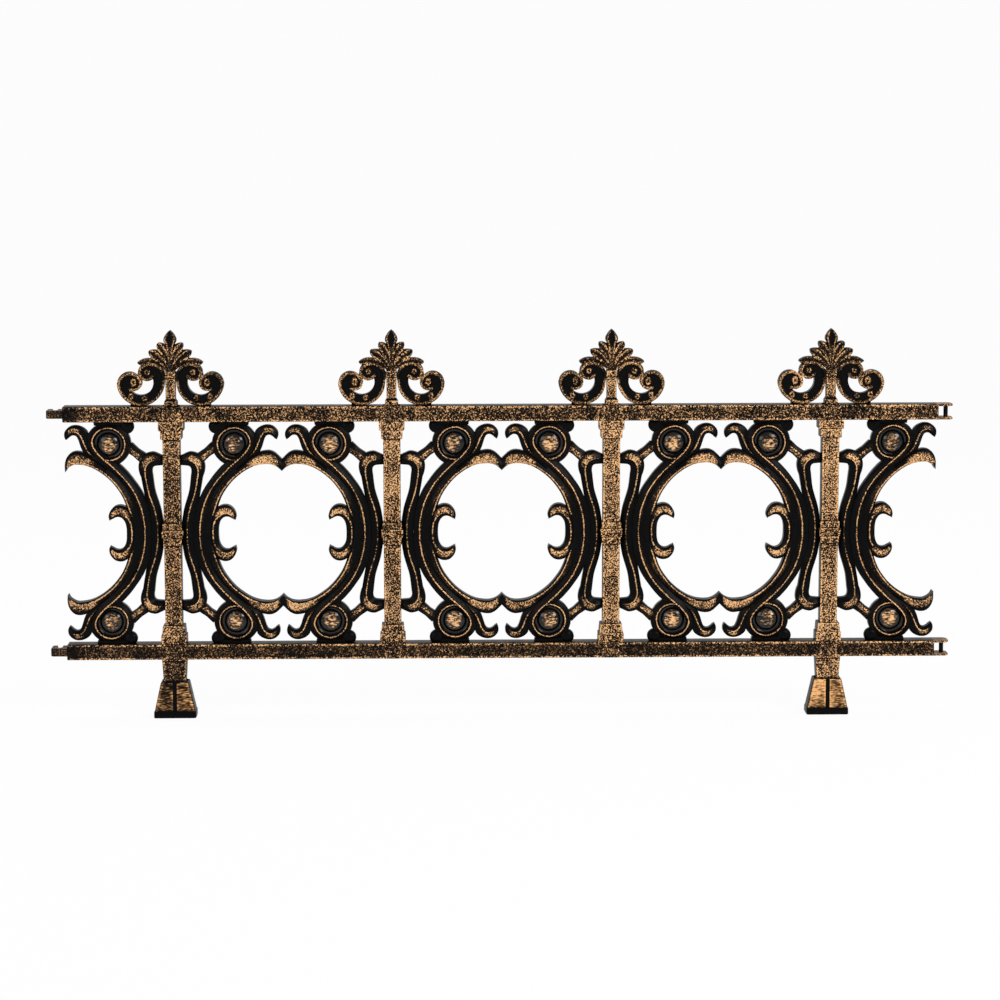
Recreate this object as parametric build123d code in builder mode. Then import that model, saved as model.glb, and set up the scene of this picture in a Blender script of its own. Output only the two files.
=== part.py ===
from build123d import *

import os
from math import acos, atan2, cos, degrees, radians, sin, sqrt

# A plastic garden fence panel in wrought-iron style, in millimetres.
# X runs along the panel, -Y is the front, Z is up and the feet stand on Z = 0.

# Posts and rails
POST_COUNT = 4
POST_PITCH = 193.0
POST_WIDTH = 15.0
POST_DEPTH = 14.4
RAIL_OVERHANG = 94.3
RAIL_HEIGHT = 13.6
RAIL_DEPTH = 18.0
CLEAR_HEIGHT = 197.4
EDGE_BREAK = 0.6

# Collars round the posts: half the extra width each step adds to the post, and its height
CAPITAL_STEPS = ((3.6, 8.0), (1.8, 7.6))
WAIST_STEPS = ((0.9, 5.8), (2.3, 7.6), (1.2, 5.8))
BASE_STEPS = ((3.4, 8.2), (1.9, 8.4))

# Legs and feet under the two outer posts
LEG_WIDTH = 22.0
LEG_DEPTH = 16.4
LEG_DRAFT = 2.4
LEG_HEIGHT = 20.5
FOOT_HEIGHT = 32.0
FOOT_WIDTH = 37.4
FOOT_DEPTH = 20.4
FOOT_TOP_WIDTH = 24.6
FOOT_TOP_DEPTH = 18.6
FOOT_LIP = 5.0
FOOT_CORNER = 1.6
GROOVE_WIDTH = 2.6
GROOVE_DEPTH = 0.6

# Hinge ends of the rails: a hooked tongue on the left, two ears and a pin on the right
TONGUE_LENGTH = 14.4
TONGUE_HEIGHT = 7.0
TONGUE_DEPTH = 17.0
HINGE_REACH = 7.6
NOTCH_RADIUS = 2.2
EAR_LENGTH = 13.2
EAR_THICKNESS = 1.8
EAR_DEPTH = 17.0
EAR_CORNER = 5.0
PIN_RADIUS = 1.95

# Scroll infill: everything is measured from the post's axis and from the mid-height
LINK_LENGTH = 15.0
VALLEY_OFFSET = 7.4
CREST_OFFSET = 11.0
BAND_WIDTH = 16.0
FRONT_DEPTH = 7.0
CREST_DEPTH = 6.8
VALLEY_DEPTH = 3.9
OUTER_DEPTH = 4.2
ROUNDEL_RADIUS = 20.1
ROUNDEL_FROM_POST = 55.0
ROUNDEL_EDGE_DEPTH = 3.6
RING_RADIUS = 14.6
RING_WIDTH = 4.6
RING_DEPTH = 7.0
BOSS_RADIUS = 10.8
BOSS_DEPTH = 7.2
LUG_RADIUS = 6.4
LUG_FROM_POST = 38.6
LUG_SETBACK = 4.2
LUG_DEPTH = 4.4
PAD_REACH = 12.8
PAD_HEIGHT = 3.4

# Bottle-shaped scroll beside the post
BOTTLE_WIDTH = 11.4
BOTTLE_FROM_POST = 12.8
BOTTLE_SWELL = 10.4
BOTTLE_SWELL_BELOW_ROUNDEL = 23.6
BOTTLE_HOOK_RADIUS = 8.0
BOTTLE_EDGE_DEPTH = 3.6
STRUT_WIDTH = 7.6
STRUT_DEPTH = 4.4
STRUT_TURN = 42.0

# Hooked leaf beyond each roundel
HOOK_RADIUS = 6.9
HOOK_WIDTH = 7.8
HOOK_FROM_MIDDLE = 10.3
HOOK_BELOW_RAIL = 15.3
HOOK_END_TURN = 155.0
HOOK_STEM_LEAN = 22.0
HOOK_STEM_LENGTH = 16.0
HOOK_DEPTH = 5.2

# Leaf ends that meet in the middle of each bay
LEAF_START = 24.5
LEAF_TIP = 7.4
LEAF_SIDE = 10.4
LEAF_SWELL = 10.5
LEAF_SWELL_FROM_MIDDLE = 8.4
LEAF_DEPTH = 5.6
LEAF_BACK_DROP = 4.5
LEAF_ARCH_DROP = 1.2

# Small C-scroll inside each circle
SMALL_C_WIDTH = 8.6
SMALL_C_INSET = 6.2
SMALL_C_BEND_RADIUS = 7.6
SMALL_C_BEND_HEIGHT = 7.4
SMALL_C_LEAF_RADIUS = 8.9
SMALL_C_LEAF_RISE = 7.6
SMALL_C_LEAF_SHIFT = 0.8
SMALL_C_DEPTH = 5.4

# Finials on the top rail, measured from the post's axis and the top of the rail
STEM_WIDTH = 9.0
STEM_DEPTH = 9.0
STEM_HEIGHT = 30.6
STEM_BASE_WIDTH = 11.6
STEM_BASE_DEPTH = 11.6
STEM_BASE_HEIGHT = 5.4
STEM_BASE_BEVEL = 1.2
FAN_DEPTH = 5.0
FAN_TOP = 67.4
FAN_LOW = (14.0, 39.6)
LEAF_CLEARANCE = 0.3
LEAF_ARCS = (
    ((14.0, 39.6), (20.0, 38.0), (23.0, 36.2)),
    ((23.0, 36.2), (26.5, 37.2), (28.6, 39.2)),
    ((28.6, 39.2), (22.5, 43.0), (16.2, 42.6)),
    ((16.2, 42.6), (18.0, 45.4), (18.6, 48.8)),
    ((18.6, 48.8), (14.6, 50.3), (10.6, 50.4)),
    ((10.6, 50.4), (12.0, 53.2), (11.8, 56.4)),
    ((11.8, 56.4), (7.6, 56.4), (3.4, 55.2)),
    ((3.4, 55.2), (5.6, 59.4), (3.4, 63.8)),
)
VOLUTE_RADIUS = 20.6
VOLUTE_INNER_RADIUS = 11.2
VOLUTE_CENTRE = (26.0, 20.9)
ARM_RADIUS = 12.0
ARM_CENTRE = (16.6, 25.7)
OUTER_CURL_RADIUS = 9.7
OUTER_CURL_CENTRE = (36.3, 20.1)
INNER_CURL_RADIUS = 7.8
INNER_CURL_CENTRE = (20.2, 29.9)
VOLUTE_DEPTH = 6.0
RIM_WIDTH = 2.6
VOLUTE_PAD_START = 22.0
VOLUTE_PAD_LENGTH = 13.0

# Levels and places worked out from the sizes above
RAIL_LENGTH = (POST_COUNT - 1) * POST_PITCH + 2 * RAIL_OVERHANG
PANEL_X = (TONGUE_LENGTH - EAR_LENGTH) / 2
LOW_RAIL_Z = FOOT_HEIGHT + LEG_HEIGHT
MID_Z = LOW_RAIL_Z + RAIL_HEIGHT + CLEAR_HEIGHT / 2
HIGH_RAIL_Z = LOW_RAIL_Z + RAIL_HEIGHT + CLEAR_HEIGHT
FINIAL_Z = HIGH_RAIL_Z + RAIL_HEIGHT
POST_PLACES = [PANEL_X + (i - (POST_COUNT - 1) / 2) * POST_PITCH for i in range(POST_COUNT)]
BAY_MIDDLE = POST_PITCH / 2
HALF_CLEAR = CLEAR_HEIGHT / 2

# The roundel touches the rail. A straight link leads from the big circle's crest to the
# roundel's ring and touches both, so the circle takes its size from the roundel's place.
ROUNDEL = (ROUNDEL_FROM_POST, HALF_CLEAR - ROUNDEL_RADIUS)
SPACING = sqrt((BAY_MIDDLE - ROUNDEL[0]) ** 2 + ROUNDEL[1] ** 2)
CREST_RADIUS = sqrt(SPACING**2 - LINK_LENGTH**2) - RING_RADIUS
CIRCLE_RADIUS = CREST_RADIUS - CREST_OFFSET
LINK_ANGLE = atan2(ROUNDEL[1], ROUNDEL[0] - BAY_MIDDLE) + atan2(
    LINK_LENGTH, CREST_RADIUS + RING_RADIUS
)
BOTTLE_SWELL_HEIGHT = ROUNDEL[1] - BOTTLE_SWELL_BELOW_ROUNDEL


def face_plane(centre, angle):
    """Plane through a point of the panel's face: x away from it at the angle, y to the back."""
    return Plane(
        origin=(centre[0], 0, centre[1]),
        x_dir=(cos(angle), 0, sin(angle)),
        z_dir=(-sin(angle), 0, cos(angle)),
    )


def both_faces(front):
    """Closes a section: the front's (across, depth) points, then the same points on the back."""
    return [(a, -d) for a, d in front] + [(a, d) for a, d in reversed(front)]


def turned_ridge(centre, start, end, front):
    """Revolves a section about a point of the face, between two angles in radians."""
    with BuildSketch(face_plane(centre, start)) as section:
        with BuildLine():
            Polyline(*both_faces(front), close=True)
        make_face()
    axis = Axis((centre[0], 0, centre[1]), (0, -1, 0))
    revolve(section.sketch, axis=axis, revolution_arc=degrees(end - start))


def straight_ridge(start, angle, length, front):
    """Extrudes a section along the face from a point; across is to the right of the run."""
    with BuildSketch(face_plane(start, angle - radians(90))) as section:
        with BuildLine():
            Polyline(*both_faces(front), close=True)
        make_face()
    extrude(section.sketch, amount=length)


def along(point, angle, distance):
    """The point at a distance from another in the face."""
    return (point[0] + distance * cos(angle), point[1] + distance * sin(angle))


def ridge_section(width, edge, crest):
    """A roof-shaped section as wide as the band, with its crest in the middle."""
    return [(-width / 2, edge), (0, crest), (width / 2, edge)]


def stepped_collar(base_z, steps, upwards):
    """Stacks rectangular steps round a post, from the level up or down."""
    level = base_z
    for extra, height in steps:
        middle = level + height / 2 if upwards else level - height / 2
        with Locations((0, 0, middle)):
            Box(POST_WIDTH + 2 * extra, POST_DEPTH + 2 * extra, height)
        level += height if upwards else -height


# Post, from the bottom rail to the top rail, with its three collars
with BuildPart() as post:
    Box(POST_WIDTH, POST_DEPTH, CLEAR_HEIGHT)
    stepped_collar(HALF_CLEAR, CAPITAL_STEPS, upwards=False)
    stepped_collar(-HALF_CLEAR, BASE_STEPS, upwards=True)
    stepped_collar(sum(height for extra, height in WAIST_STEPS) / 2, WAIST_STEPS, upwards=False)
    split(bisect_by=Plane.XZ.offset(RAIL_DEPTH / 2), keep=Keep.BOTTOM)
    split(bisect_by=Plane.XZ.offset(-RAIL_DEPTH / 2), keep=Keep.TOP)

# Right half of a bay's scroll infill beside a post, upper half first
with BuildPart() as scroll:
    centre = (BAY_MIDDLE, 0)
    band = [
        (CIRCLE_RADIUS, FRONT_DEPTH),
        (CIRCLE_RADIUS + VALLEY_OFFSET, VALLEY_DEPTH),
        (CREST_RADIUS, CREST_DEPTH),
        (CIRCLE_RADIUS + BAND_WIDTH, OUTER_DEPTH),
    ]
    turned_ridge(centre, LINK_ANGLE, radians(180), band)

    # The inner edge runs on to the leaf in the middle of the bay
    leaf_angle = acos(-LEAF_START / CIRCLE_RADIUS)
    turned_ridge(centre, leaf_angle, LINK_ANGLE, band[:2])

    # The outer crest leaves the arc in a straight run and ends in the roundel's ring
    link_start = along(centre, LINK_ANGLE, CREST_RADIUS)
    link = [
        (VALLEY_OFFSET - CREST_OFFSET, VALLEY_DEPTH),
        (0, CREST_DEPTH),
        (BAND_WIDTH - CREST_OFFSET, OUTER_DEPTH),
    ]
    link = [(-a, d) for a, d in reversed(link)]
    straight_ridge(link_start, LINK_ANGLE - radians(90), LINK_LENGTH, link)

    # Roundel: domed boss, sunk channel, raised ring and sloping rim
    ring_inside = RING_RADIUS - RING_WIDTH / 2
    roundel_front = [
        (0, VALLEY_DEPTH),
        (ring_inside, VALLEY_DEPTH),
        (RING_RADIUS, RING_DEPTH),
        (ROUNDEL_RADIUS, ROUNDEL_EDGE_DEPTH),
    ]
    turned_ridge(ROUNDEL, 0, radians(360), roundel_front)
    with BuildSketch(face_plane(ROUNDEL, 0)):
        with BuildLine():
            Line((0, -BOSS_DEPTH), (0, BOSS_DEPTH))
            TangentArc((0, BOSS_DEPTH), (BOSS_RADIUS, VALLEY_DEPTH), tangent=(1, 0))
            Line((BOSS_RADIUS, VALLEY_DEPTH), (BOSS_RADIUS, -VALLEY_DEPTH))
            TangentArc((0, -BOSS_DEPTH), (BOSS_RADIUS, -VALLEY_DEPTH), tangent=(1, 0))
        make_face()
    revolve(axis=Axis((ROUNDEL[0], 0, ROUNDEL[1]), (0, -1, 0)))

    # Lug and pad between the roundel and the rail
    with BuildSketch(Plane.XZ):
        with Locations((LUG_FROM_POST, HALF_CLEAR - LUG_SETBACK)):
            Circle(LUG_RADIUS)
        with Locations((LUG_FROM_POST, HALF_CLEAR)):
            Rectangle(
                ROUNDEL_FROM_POST + PAD_REACH - LUG_FROM_POST,
                PAD_HEIGHT,
                align=(Align.MIN, Align.MAX),
            )
    extrude(amount=LUG_DEPTH, both=True)

    # Bottle-shaped scroll: two bends up the post, then a hook back to it
    bend = 2 * atan2(BOTTLE_SWELL, BOTTLE_SWELL_HEIGHT)
    bend_radius = BOTTLE_SWELL_HEIGHT / 2 / sin(bend)
    crest_x = BOTTLE_FROM_POST + BOTTLE_SWELL
    bottle = ridge_section(BOTTLE_WIDTH, BOTTLE_EDGE_DEPTH, CREST_DEPTH)
    low_bend = (BOTTLE_FROM_POST + bend_radius, 0)
    high_bend = (crest_x - bend_radius, BOTTLE_SWELL_HEIGHT)
    hook = (crest_x - BOTTLE_HOOK_RADIUS, BOTTLE_SWELL_HEIGHT)
    turned_ridge(
        low_bend, radians(180) - bend, radians(180), [(bend_radius + a, d) for a, d in bottle]
    )
    turned_ridge(high_bend, -bend, 0, [(bend_radius + a, d) for a, d in bottle])
    turned_ridge(hook, 0, radians(90), [(BOTTLE_HOOK_RADIUS + a, d) for a, d in bottle])
    hook_end = along(hook, radians(90), BOTTLE_HOOK_RADIUS)
    straight_ridge(hook_end, radians(180), hook_end[0] - POST_WIDTH / 2, bottle)

    # Strut from the hook to the roundel
    strut_start = along(hook, radians(STRUT_TURN), BOTTLE_HOOK_RADIUS)
    strut_angle = atan2(ROUNDEL[1] - strut_start[1], ROUNDEL[0] - strut_start[0])
    strut_length = sqrt((ROUNDEL[0] - strut_start[0]) ** 2 + (ROUNDEL[1] - strut_start[1]) ** 2)
    straight_ridge(
        strut_start,
        strut_angle,
        strut_length - RING_RADIUS - RING_WIDTH / 2,
        [(-STRUT_WIDTH / 2, STRUT_DEPTH), (STRUT_WIDTH / 2, STRUT_DEPTH)],
    )

    # Hooked leaf beyond the roundel
    leaf_hook = (BAY_MIDDLE - HOOK_FROM_MIDDLE, HALF_CLEAR - HOOK_BELOW_RAIL)
    hook_front = [(-HOOK_WIDTH / 2, HOOK_DEPTH), (HOOK_WIDTH / 2, HOOK_DEPTH)]
    hook_start = radians(180 - HOOK_STEM_LEAN)
    hook_finish = hook_start - radians(HOOK_END_TURN)
    turned_ridge(
        leaf_hook, hook_finish, hook_start, [(HOOK_RADIUS + a, d) for a, d in hook_front]
    )
    straight_ridge(
        along(leaf_hook, hook_start, HOOK_RADIUS),
        hook_start + radians(90),
        HOOK_STEM_LENGTH,
        hook_front,
    )

    # Leaf end: a cusp on the circle's side, a round back on the rail's side
    leaf_root = along(centre, leaf_angle, CIRCLE_RADIUS)
    swell_top = CIRCLE_RADIUS + LEAF_SWELL
    swell_x = BAY_MIDDLE - LEAF_SWELL_FROM_MIDDLE
    with BuildSketch(Plane.XZ):
        with BuildLine():
            Line(leaf_root, along(leaf_root, leaf_angle, VALLEY_OFFSET))
            Line(
                along(leaf_root, leaf_angle, VALLEY_OFFSET),
                (swell_x - LEAF_SWELL, swell_top - LEAF_BACK_DROP),
            )
            ThreePointArc(
                (swell_x - LEAF_SWELL, swell_top - LEAF_BACK_DROP),
                (swell_x, swell_top),
                (BAY_MIDDLE, CIRCLE_RADIUS - LEAF_TIP + LEAF_SIDE),
            )
            Line(
                (BAY_MIDDLE, CIRCLE_RADIUS - LEAF_TIP + LEAF_SIDE),
                (BAY_MIDDLE, CIRCLE_RADIUS - LEAF_TIP),
            )
            ThreePointArc(
                (BAY_MIDDLE, CIRCLE_RADIUS - LEAF_TIP),
                (swell_x, CIRCLE_RADIUS - LEAF_ARCH_DROP),
                leaf_root,
            )
        make_face()
    extrude(amount=LEAF_DEPTH, both=True)

    # Small C-scroll on the inside of the circle, bent over into a pointed leaf
    small_x = BAY_MIDDLE - CIRCLE_RADIUS + SMALL_C_INSET
    bend_centre = (small_x + SMALL_C_BEND_RADIUS, SMALL_C_BEND_HEIGHT)
    leaf_centre = (bend_centre[0] - SMALL_C_LEAF_SHIFT, SMALL_C_BEND_HEIGHT + SMALL_C_LEAF_RISE)
    with BuildSketch(Plane.XZ):
        with Locations(leaf_centre):
            Circle(SMALL_C_LEAF_RADIUS)
        with Locations((small_x - SMALL_C_WIDTH / 2, leaf_centre[1] / 2)):
            Rectangle(SMALL_C_WIDTH, leaf_centre[1])
        with Locations(bend_centre):
            Circle(SMALL_C_BEND_RADIUS, mode=Mode.SUBTRACT)
        with Locations((small_x + SMALL_C_LEAF_RADIUS, bend_centre[1] / 2)):
            Rectangle(2 * SMALL_C_LEAF_RADIUS, bend_centre[1], mode=Mode.SUBTRACT)
    extrude(amount=SMALL_C_DEPTH, both=True)

    # Nothing passes the rail, the bay's middle or the post and its waist
    with Locations((0, 0, HALF_CLEAR + RAIL_HEIGHT / 2)):
        Box(2 * POST_PITCH, 2 * RAIL_DEPTH, RAIL_HEIGHT, mode=Mode.SUBTRACT)
    with Locations((BAY_MIDDLE + RAIL_DEPTH, 0, 0)):
        Box(2 * RAIL_DEPTH, 2 * RAIL_DEPTH, 2 * CLEAR_HEIGHT, mode=Mode.SUBTRACT)
    mirror(about=Plane.XY)
    add(post.part, mode=Mode.SUBTRACT)

with BuildPart() as left_scroll:
    mirror(scroll.part, about=Plane.YZ)

# Volute beside the stem: two curls on one round foot
with BuildSketch(Plane.XZ) as volute_face:
    with Locations(VOLUTE_CENTRE):
        Circle(VOLUTE_RADIUS)
        Rectangle(
            3 * VOLUTE_RADIUS,
            2 * VOLUTE_RADIUS,
            align=(Align.CENTER, Align.MIN),
            mode=Mode.SUBTRACT,
        )
    with Locations(ARM_CENTRE):
        Circle(ARM_RADIUS)
    with Locations(VOLUTE_CENTRE):
        Circle(VOLUTE_INNER_RADIUS, mode=Mode.SUBTRACT)
    with Locations(OUTER_CURL_CENTRE):
        Circle(OUTER_CURL_RADIUS)
    with Locations(INNER_CURL_CENTRE):
        Circle(INNER_CURL_RADIUS)
    with Locations((VOLUTE_PAD_START, 0)):
        Rectangle(
            VOLUTE_PAD_LENGTH,
            VOLUTE_CENTRE[1] - VOLUTE_RADIUS + RIM_WIDTH,
            align=(Align.MIN, Align.MIN),
        )
with BuildPart() as volute:
    extrude(volute_face.sketch, amount=VOLUTE_DEPTH, both=True)

# Finial: a square stem on a bevelled base, with a fan of leaves over the two volutes
with BuildSketch(Plane.XZ) as fan:
    with BuildLine():
        Line((0, STEM_HEIGHT), (STEM_WIDTH / 2, STEM_HEIGHT))
        Line((STEM_WIDTH / 2, STEM_HEIGHT), FAN_LOW)
        for start, through, end in LEAF_ARCS:
            ThreePointArc(start, through, end)
        Line(LEAF_ARCS[-1][-1], (0, FAN_TOP))
        Line((0, FAN_TOP), (0, STEM_HEIGHT))
    make_face()
    with Locations(ARM_CENTRE):
        Circle(ARM_RADIUS + LEAF_CLEARANCE, mode=Mode.SUBTRACT)
    with Locations(INNER_CURL_CENTRE):
        Circle(INNER_CURL_RADIUS + LEAF_CLEARANCE, mode=Mode.SUBTRACT)
    mirror(about=Plane.YZ)
with BuildPart() as finial:
    with BuildSketch(Plane.XY):
        Rectangle(STEM_BASE_WIDTH, STEM_BASE_DEPTH)
    extrude(amount=STEM_BASE_HEIGHT)
    chamfer(finial.faces().sort_by(Axis.Z)[-1].edges(), STEM_BASE_BEVEL)
    with BuildSketch(Plane.XY):
        Rectangle(STEM_WIDTH, STEM_DEPTH)
    extrude(amount=STEM_HEIGHT)
    extrude(fan.sketch, amount=FAN_DEPTH, both=True)
    add(volute.part, mode=Mode.SUBTRACT)
    mirror(volute.part, about=Plane.YZ, mode=Mode.SUBTRACT)

with BuildPart() as left_volute:
    mirror(volute.part, about=Plane.YZ)

# Leg and foot
with BuildPart() as leg:
    with BuildSketch(Plane.XY.offset(FOOT_HEIGHT)):
        Rectangle(LEG_WIDTH - LEG_DRAFT, LEG_DEPTH - LEG_DRAFT / 2)
    with BuildSketch(Plane.XY.offset(LOW_RAIL_Z)):
        Rectangle(LEG_WIDTH, LEG_DEPTH)
    loft()

with BuildPart() as foot:
    with BuildSketch(Plane.XY):
        Rectangle(FOOT_WIDTH, FOOT_DEPTH)
        chamfer(vertices(), FOOT_CORNER)
    extrude(amount=FOOT_LIP)
    with BuildSketch(Plane.XY.offset(FOOT_LIP)):
        Rectangle(FOOT_WIDTH, FOOT_DEPTH)
        chamfer(vertices(), FOOT_CORNER)
    with BuildSketch(Plane.XY.offset(FOOT_HEIGHT)):
        Rectangle(FOOT_TOP_WIDTH, FOOT_TOP_DEPTH)
        chamfer(vertices(), FOOT_CORNER)
    loft()
    with BuildSketch(Plane.YZ):
        with BuildLine():
            Polyline(
                (-FOOT_DEPTH / 2 + GROOVE_DEPTH, FOOT_LIP),
                (-FOOT_DEPTH / 2, FOOT_LIP),
                (-FOOT_TOP_DEPTH / 2, FOOT_HEIGHT),
                (-FOOT_TOP_DEPTH / 2 + GROOVE_DEPTH, FOOT_HEIGHT),
                close=True,
            )
        make_face()
        mirror(about=Plane.YZ)
    extrude(amount=GROOVE_WIDTH / 2, both=True, mode=Mode.SUBTRACT)

# Hinge pin between the ears
with BuildPart() as hinge_pin:
    Cylinder(PIN_RADIUS, RAIL_HEIGHT - 2 * EAR_THICKNESS)

# Rail with its hooked tongue and its pair of ears, about its own middle
with BuildPart() as rail:
    Box(RAIL_LENGTH, RAIL_DEPTH, RAIL_HEIGHT)
    chamfer(rail.edges().filter_by(Axis.X), EDGE_BREAK)
    left_end = -RAIL_LENGTH / 2
    right_end = RAIL_LENGTH / 2
    with BuildSketch(Plane.XY.offset(-TONGUE_HEIGHT / 2)):
        with Locations((left_end - TONGUE_LENGTH, 0)):
            Rectangle(TONGUE_LENGTH, TONGUE_DEPTH, align=(Align.MIN, Align.CENTER))
        with Locations((left_end - HINGE_REACH, 0)):
            Circle(NOTCH_RADIUS, mode=Mode.SUBTRACT)
            Rectangle(
                2 * NOTCH_RADIUS, TONGUE_DEPTH, align=(Align.CENTER, Align.MIN), mode=Mode.SUBTRACT
            )
    extrude(amount=TONGUE_HEIGHT)
    ear_middle = (RAIL_HEIGHT - EAR_THICKNESS) / 2
    for level in (-ear_middle, ear_middle):
        with BuildSketch(Plane.XY.offset(level - EAR_THICKNESS / 2)) as ear:
            with Locations((right_end, 0)):
                Rectangle(EAR_LENGTH, EAR_DEPTH, align=(Align.MIN, Align.CENTER))
            fillet(ear.vertices().group_by(Axis.X)[-1], EAR_CORNER)
        extrude(amount=EAR_THICKNESS)

# Every piece is placed in the panel and written under its own name
os.makedirs("parts", exist_ok=True)


def write_piece(solid, name, x=0.0, y=0.0, z=0.0):
    """Writes one placed copy of a piece."""
    placed = Pos(x, y, z) * solid
    placed.label = name
    export_step(placed, f"parts/{name}.step")


write_piece(rail.part, "bottom_rail", x=PANEL_X, z=LOW_RAIL_Z + RAIL_HEIGHT / 2)
write_piece(rail.part, "top_rail", x=PANEL_X, z=HIGH_RAIL_Z + RAIL_HEIGHT / 2)
hinge_x = PANEL_X + RAIL_LENGTH / 2 + HINGE_REACH
write_piece(hinge_pin.part, "bottom_hinge_pin", x=hinge_x, z=LOW_RAIL_Z + RAIL_HEIGHT / 2)
write_piece(hinge_pin.part, "top_hinge_pin", x=hinge_x, z=HIGH_RAIL_Z + RAIL_HEIGHT / 2)
for number, x in enumerate(POST_PLACES, start=1):
    write_piece(post.part, f"post_{number}", x=x, z=MID_Z)
    write_piece(scroll.part, f"scroll_{number}_right", x=x, z=MID_Z)
    write_piece(left_scroll.part, f"scroll_{number}_left", x=x, z=MID_Z)
    write_piece(finial.part, f"finial_{number}", x=x, z=FINIAL_Z)
    write_piece(volute.part, f"volute_{number}_right", x=x, z=FINIAL_Z)
    write_piece(left_volute.part, f"volute_{number}_left", x=x, z=FINIAL_Z)
for side, x in (("left", POST_PLACES[0]), ("right", POST_PLACES[-1])):
    write_piece(leg.part, f"leg_{side}", x=x)
    write_piece(foot.part, f"foot_{side}", x=x)
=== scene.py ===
"""A plastic garden fence panel in wrought-iron style, black with brushed bronze.

Shapes are worked out in millimetres, x along the panel and z up, and are turned into
metres where they become meshes. The front is towards -Y, and the back is like the front.
"""

from math import atan2, pi, radians, sqrt

import bpy
import numpy as np
from mathutils import Matrix


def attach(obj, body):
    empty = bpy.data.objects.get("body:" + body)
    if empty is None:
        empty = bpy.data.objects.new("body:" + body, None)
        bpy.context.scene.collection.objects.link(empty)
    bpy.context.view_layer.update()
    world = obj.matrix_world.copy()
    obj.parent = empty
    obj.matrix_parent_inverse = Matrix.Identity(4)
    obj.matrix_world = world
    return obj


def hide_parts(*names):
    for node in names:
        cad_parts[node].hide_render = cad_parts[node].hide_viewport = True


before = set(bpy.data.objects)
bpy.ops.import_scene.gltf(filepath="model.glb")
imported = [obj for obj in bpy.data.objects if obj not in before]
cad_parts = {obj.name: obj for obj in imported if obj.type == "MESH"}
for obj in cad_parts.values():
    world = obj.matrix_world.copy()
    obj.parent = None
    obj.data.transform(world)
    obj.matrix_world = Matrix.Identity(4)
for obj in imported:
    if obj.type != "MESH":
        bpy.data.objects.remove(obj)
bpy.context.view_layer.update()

MM = 0.001
SHARP_ANGLE = 38  # degrees between two faces, past which the edge between them shows

# Places in the panel, as in the CAD model
POST_PITCH = 193.0
PANEL_X = 0.6
POST_PLACES = [PANEL_X + (i - 1.5) * POST_PITCH for i in range(4)]
RAIL_HEIGHT = 13.6
RAIL_DEPTH = 18.0
RAIL_LENGTH = 767.6
LOW_RAIL_Z = 52.5
CLEAR_HEIGHT = 197.4
HALF_CLEAR = CLEAR_HEIGHT / 2
MID_Z = LOW_RAIL_Z + RAIL_HEIGHT + HALF_CLEAR
HIGH_RAIL_Z = LOW_RAIL_Z + RAIL_HEIGHT + CLEAR_HEIGHT
FINIAL_Z = HIGH_RAIL_Z + RAIL_HEIGHT


def bell(x, power=2):
    """e to the power -(x to an even power): 1 at 0, and less on both sides."""
    return np.exp(-(x**power))


# Surfaces, and how they become pieces
def smooth_mesh(name, points, faces):
    """A mesh with smooth shading, from points in metres and faces."""
    mesh = bpy.data.meshes.new(name)
    mesh.from_pydata(points.tolist(), [], faces)
    mesh.polygons.foreach_set("use_smooth", np.ones(len(faces), bool))
    return mesh


def placed(name, data):
    """A new object, at the origin and unturned."""
    obj = bpy.data.objects.new(name, data)
    bpy.context.scene.collection.objects.link(obj)
    return obj


class Shape:
    """Points, faces and the amount of bronze at each point, gathered for one piece."""

    def __init__(self):
        self.points = []
        self.bronze = []
        self.faces = []
        self.finish = []
        self.count = 0

    def add(self, points, faces, bronze, finish=0):
        """Adds points (n, 3), faces as whole arrays, and the bronze at each point.

        finish is the number of the faces' material in the piece.
        """
        points = np.asarray(points, float).reshape(-1, 3)
        self.points.append(points)
        self.bronze.append(np.broadcast_to(np.asarray(bronze, float).reshape(-1), len(points)))
        for group in faces:
            group = np.asarray(group, int)
            self.faces.append(group + self.count)
            self.finish.append(finish)
        self.count += len(points)

    def mirrored(self, axis):
        """The same shape on the other side of an axis, with its faces turned to point outwards."""
        other = Shape()
        flip = np.ones(3)
        flip[axis] = -1
        other.points = [p * flip for p in self.points]
        other.bronze = list(self.bronze)
        other.faces = [f[:, ::-1] for f in self.faces]
        other.finish = list(self.finish)
        other.count = self.count
        return other

    def bronze_scaled(self, share):
        """The same shape with its bronze times a share, up to 1."""
        other = Shape()
        other.join(self)
        other.bronze = [np.clip(b * share, 0, 1) for b in self.bronze]
        return other

    def join(self, other):
        """Takes in another shape's points and faces."""
        self.points += other.points
        self.bronze += other.bronze
        self.faces += [f + self.count for f in other.faces]
        self.finish += other.finish
        self.count += other.count

    def piece(self, name, place, materials, nodes, slot):
        """Makes the Blender object at a place in the panel, and puts it in place of CAD nodes."""
        points = (np.concatenate(self.points) + np.asarray(place, float)) * MM
        mesh = smooth_mesh(name, points, [row for group in self.faces for row in group.tolist()])
        finish = np.concatenate([np.full(len(f), k) for f, k in zip(self.faces, self.finish)])
        mesh.polygons.foreach_set("material_index", finish.astype(np.int32))
        layer = mesh.attributes.new("bronze", "FLOAT", "POINT")
        layer.data.foreach_set("value", np.concatenate(self.bronze).astype(np.float32))
        mesh.update()
        mesh.set_sharp_from_angle(angle=radians(SHARP_ANGLE))
        obj = placed(name, mesh)
        for material in materials:
            mesh.materials.append(material)
        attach(obj, "root")
        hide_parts(*nodes)


def ring_faces(rows, across):
    """Faces of a net of rows, each a closed loop, joined one to the next."""
    index = np.arange(rows * across).reshape(rows, across)
    a, b = index[:-1], index[1:]
    return np.stack([a, np.roll(a, -1, 1), np.roll(b, -1, 1), b], -1).reshape(-1, 4)


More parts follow.
